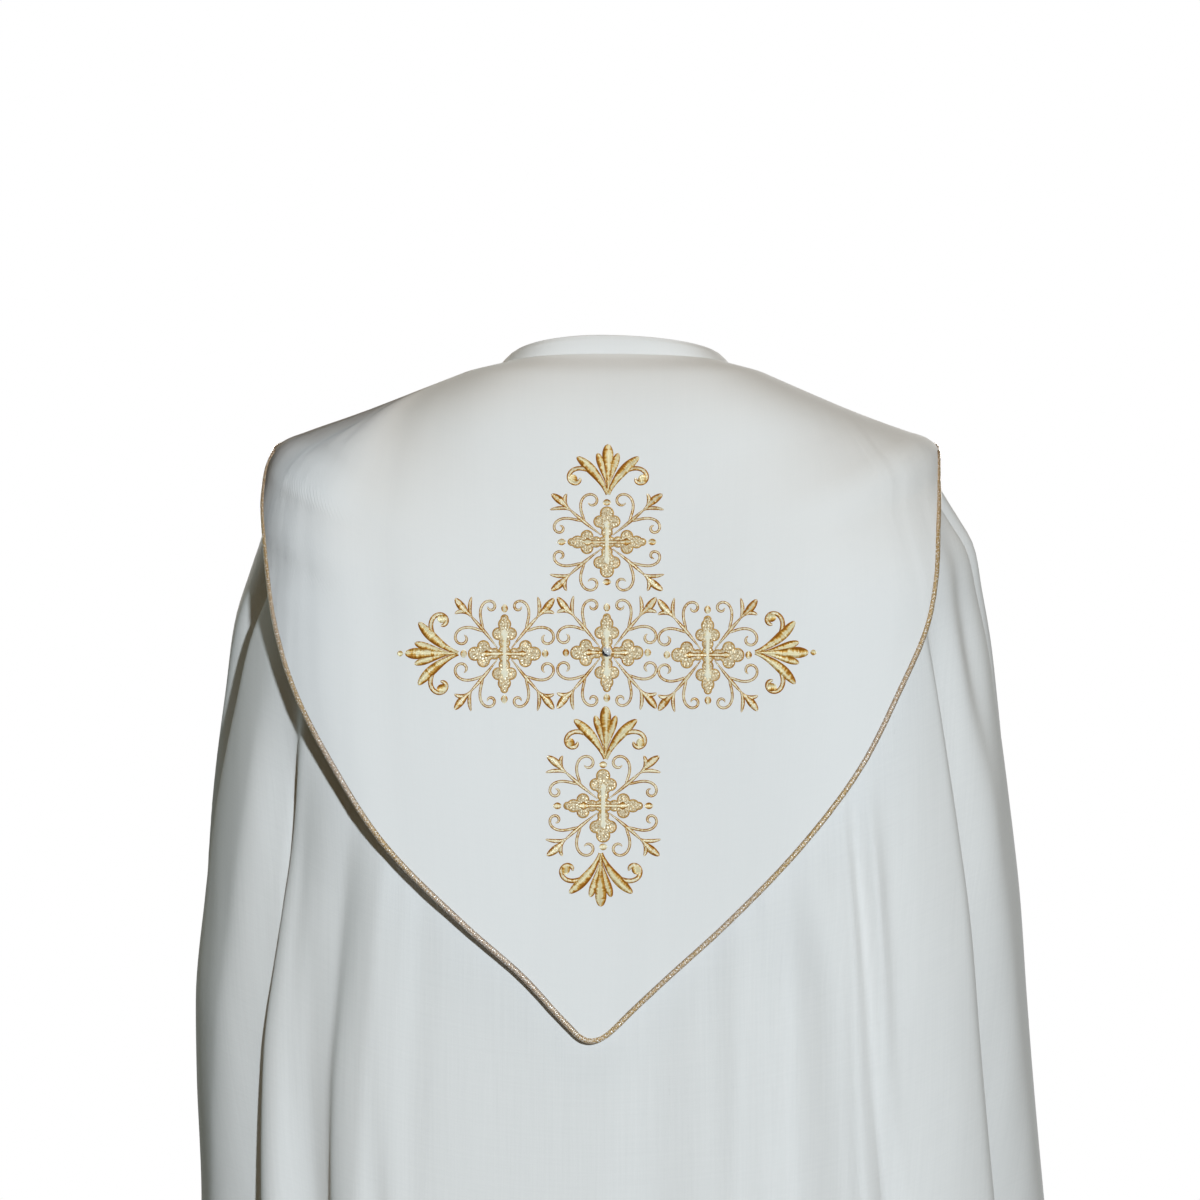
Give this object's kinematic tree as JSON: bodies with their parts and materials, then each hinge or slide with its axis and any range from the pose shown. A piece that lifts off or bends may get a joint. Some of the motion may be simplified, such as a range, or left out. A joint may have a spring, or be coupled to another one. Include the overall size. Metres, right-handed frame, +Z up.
{
  "type": "cope vestment",
  "caption": "Full-length open liturgical cope in ivory cloth, hollow as worn, with deep hem folds, a corded shield-shaped hood set with a crystal, a neck band and a closing tab.",
  "frame": {"origin": "middle of the neck opening, level with the neck seam at the back", "axes": "+Z up, -Y out of the back where the hood hangs, +X the wearer's right"},
  "size_m": [0.8115, 0.6448, 1.4971],
  "materials": {
    "cope_cloth": "matt, fine vertical weave",
    "hood_cloth": "matt plain weave over a stiff interlining",
    "band_cloth": "matt plain weave",
    "gold_thread": "metallic twisted thread",
    "stone": "cut and polished"
  },
  "bodies": {
    "root": {"back_panel": "cope_cloth", "front_left": "cope_cloth", "front_right": "cope_cloth", "neck_band": "band_cloth", "hood": "hood_cloth", "hood_piping": "gold_thread", "morse": "band_cloth", "crystal": "stone"}
  },
  "joints": []
}
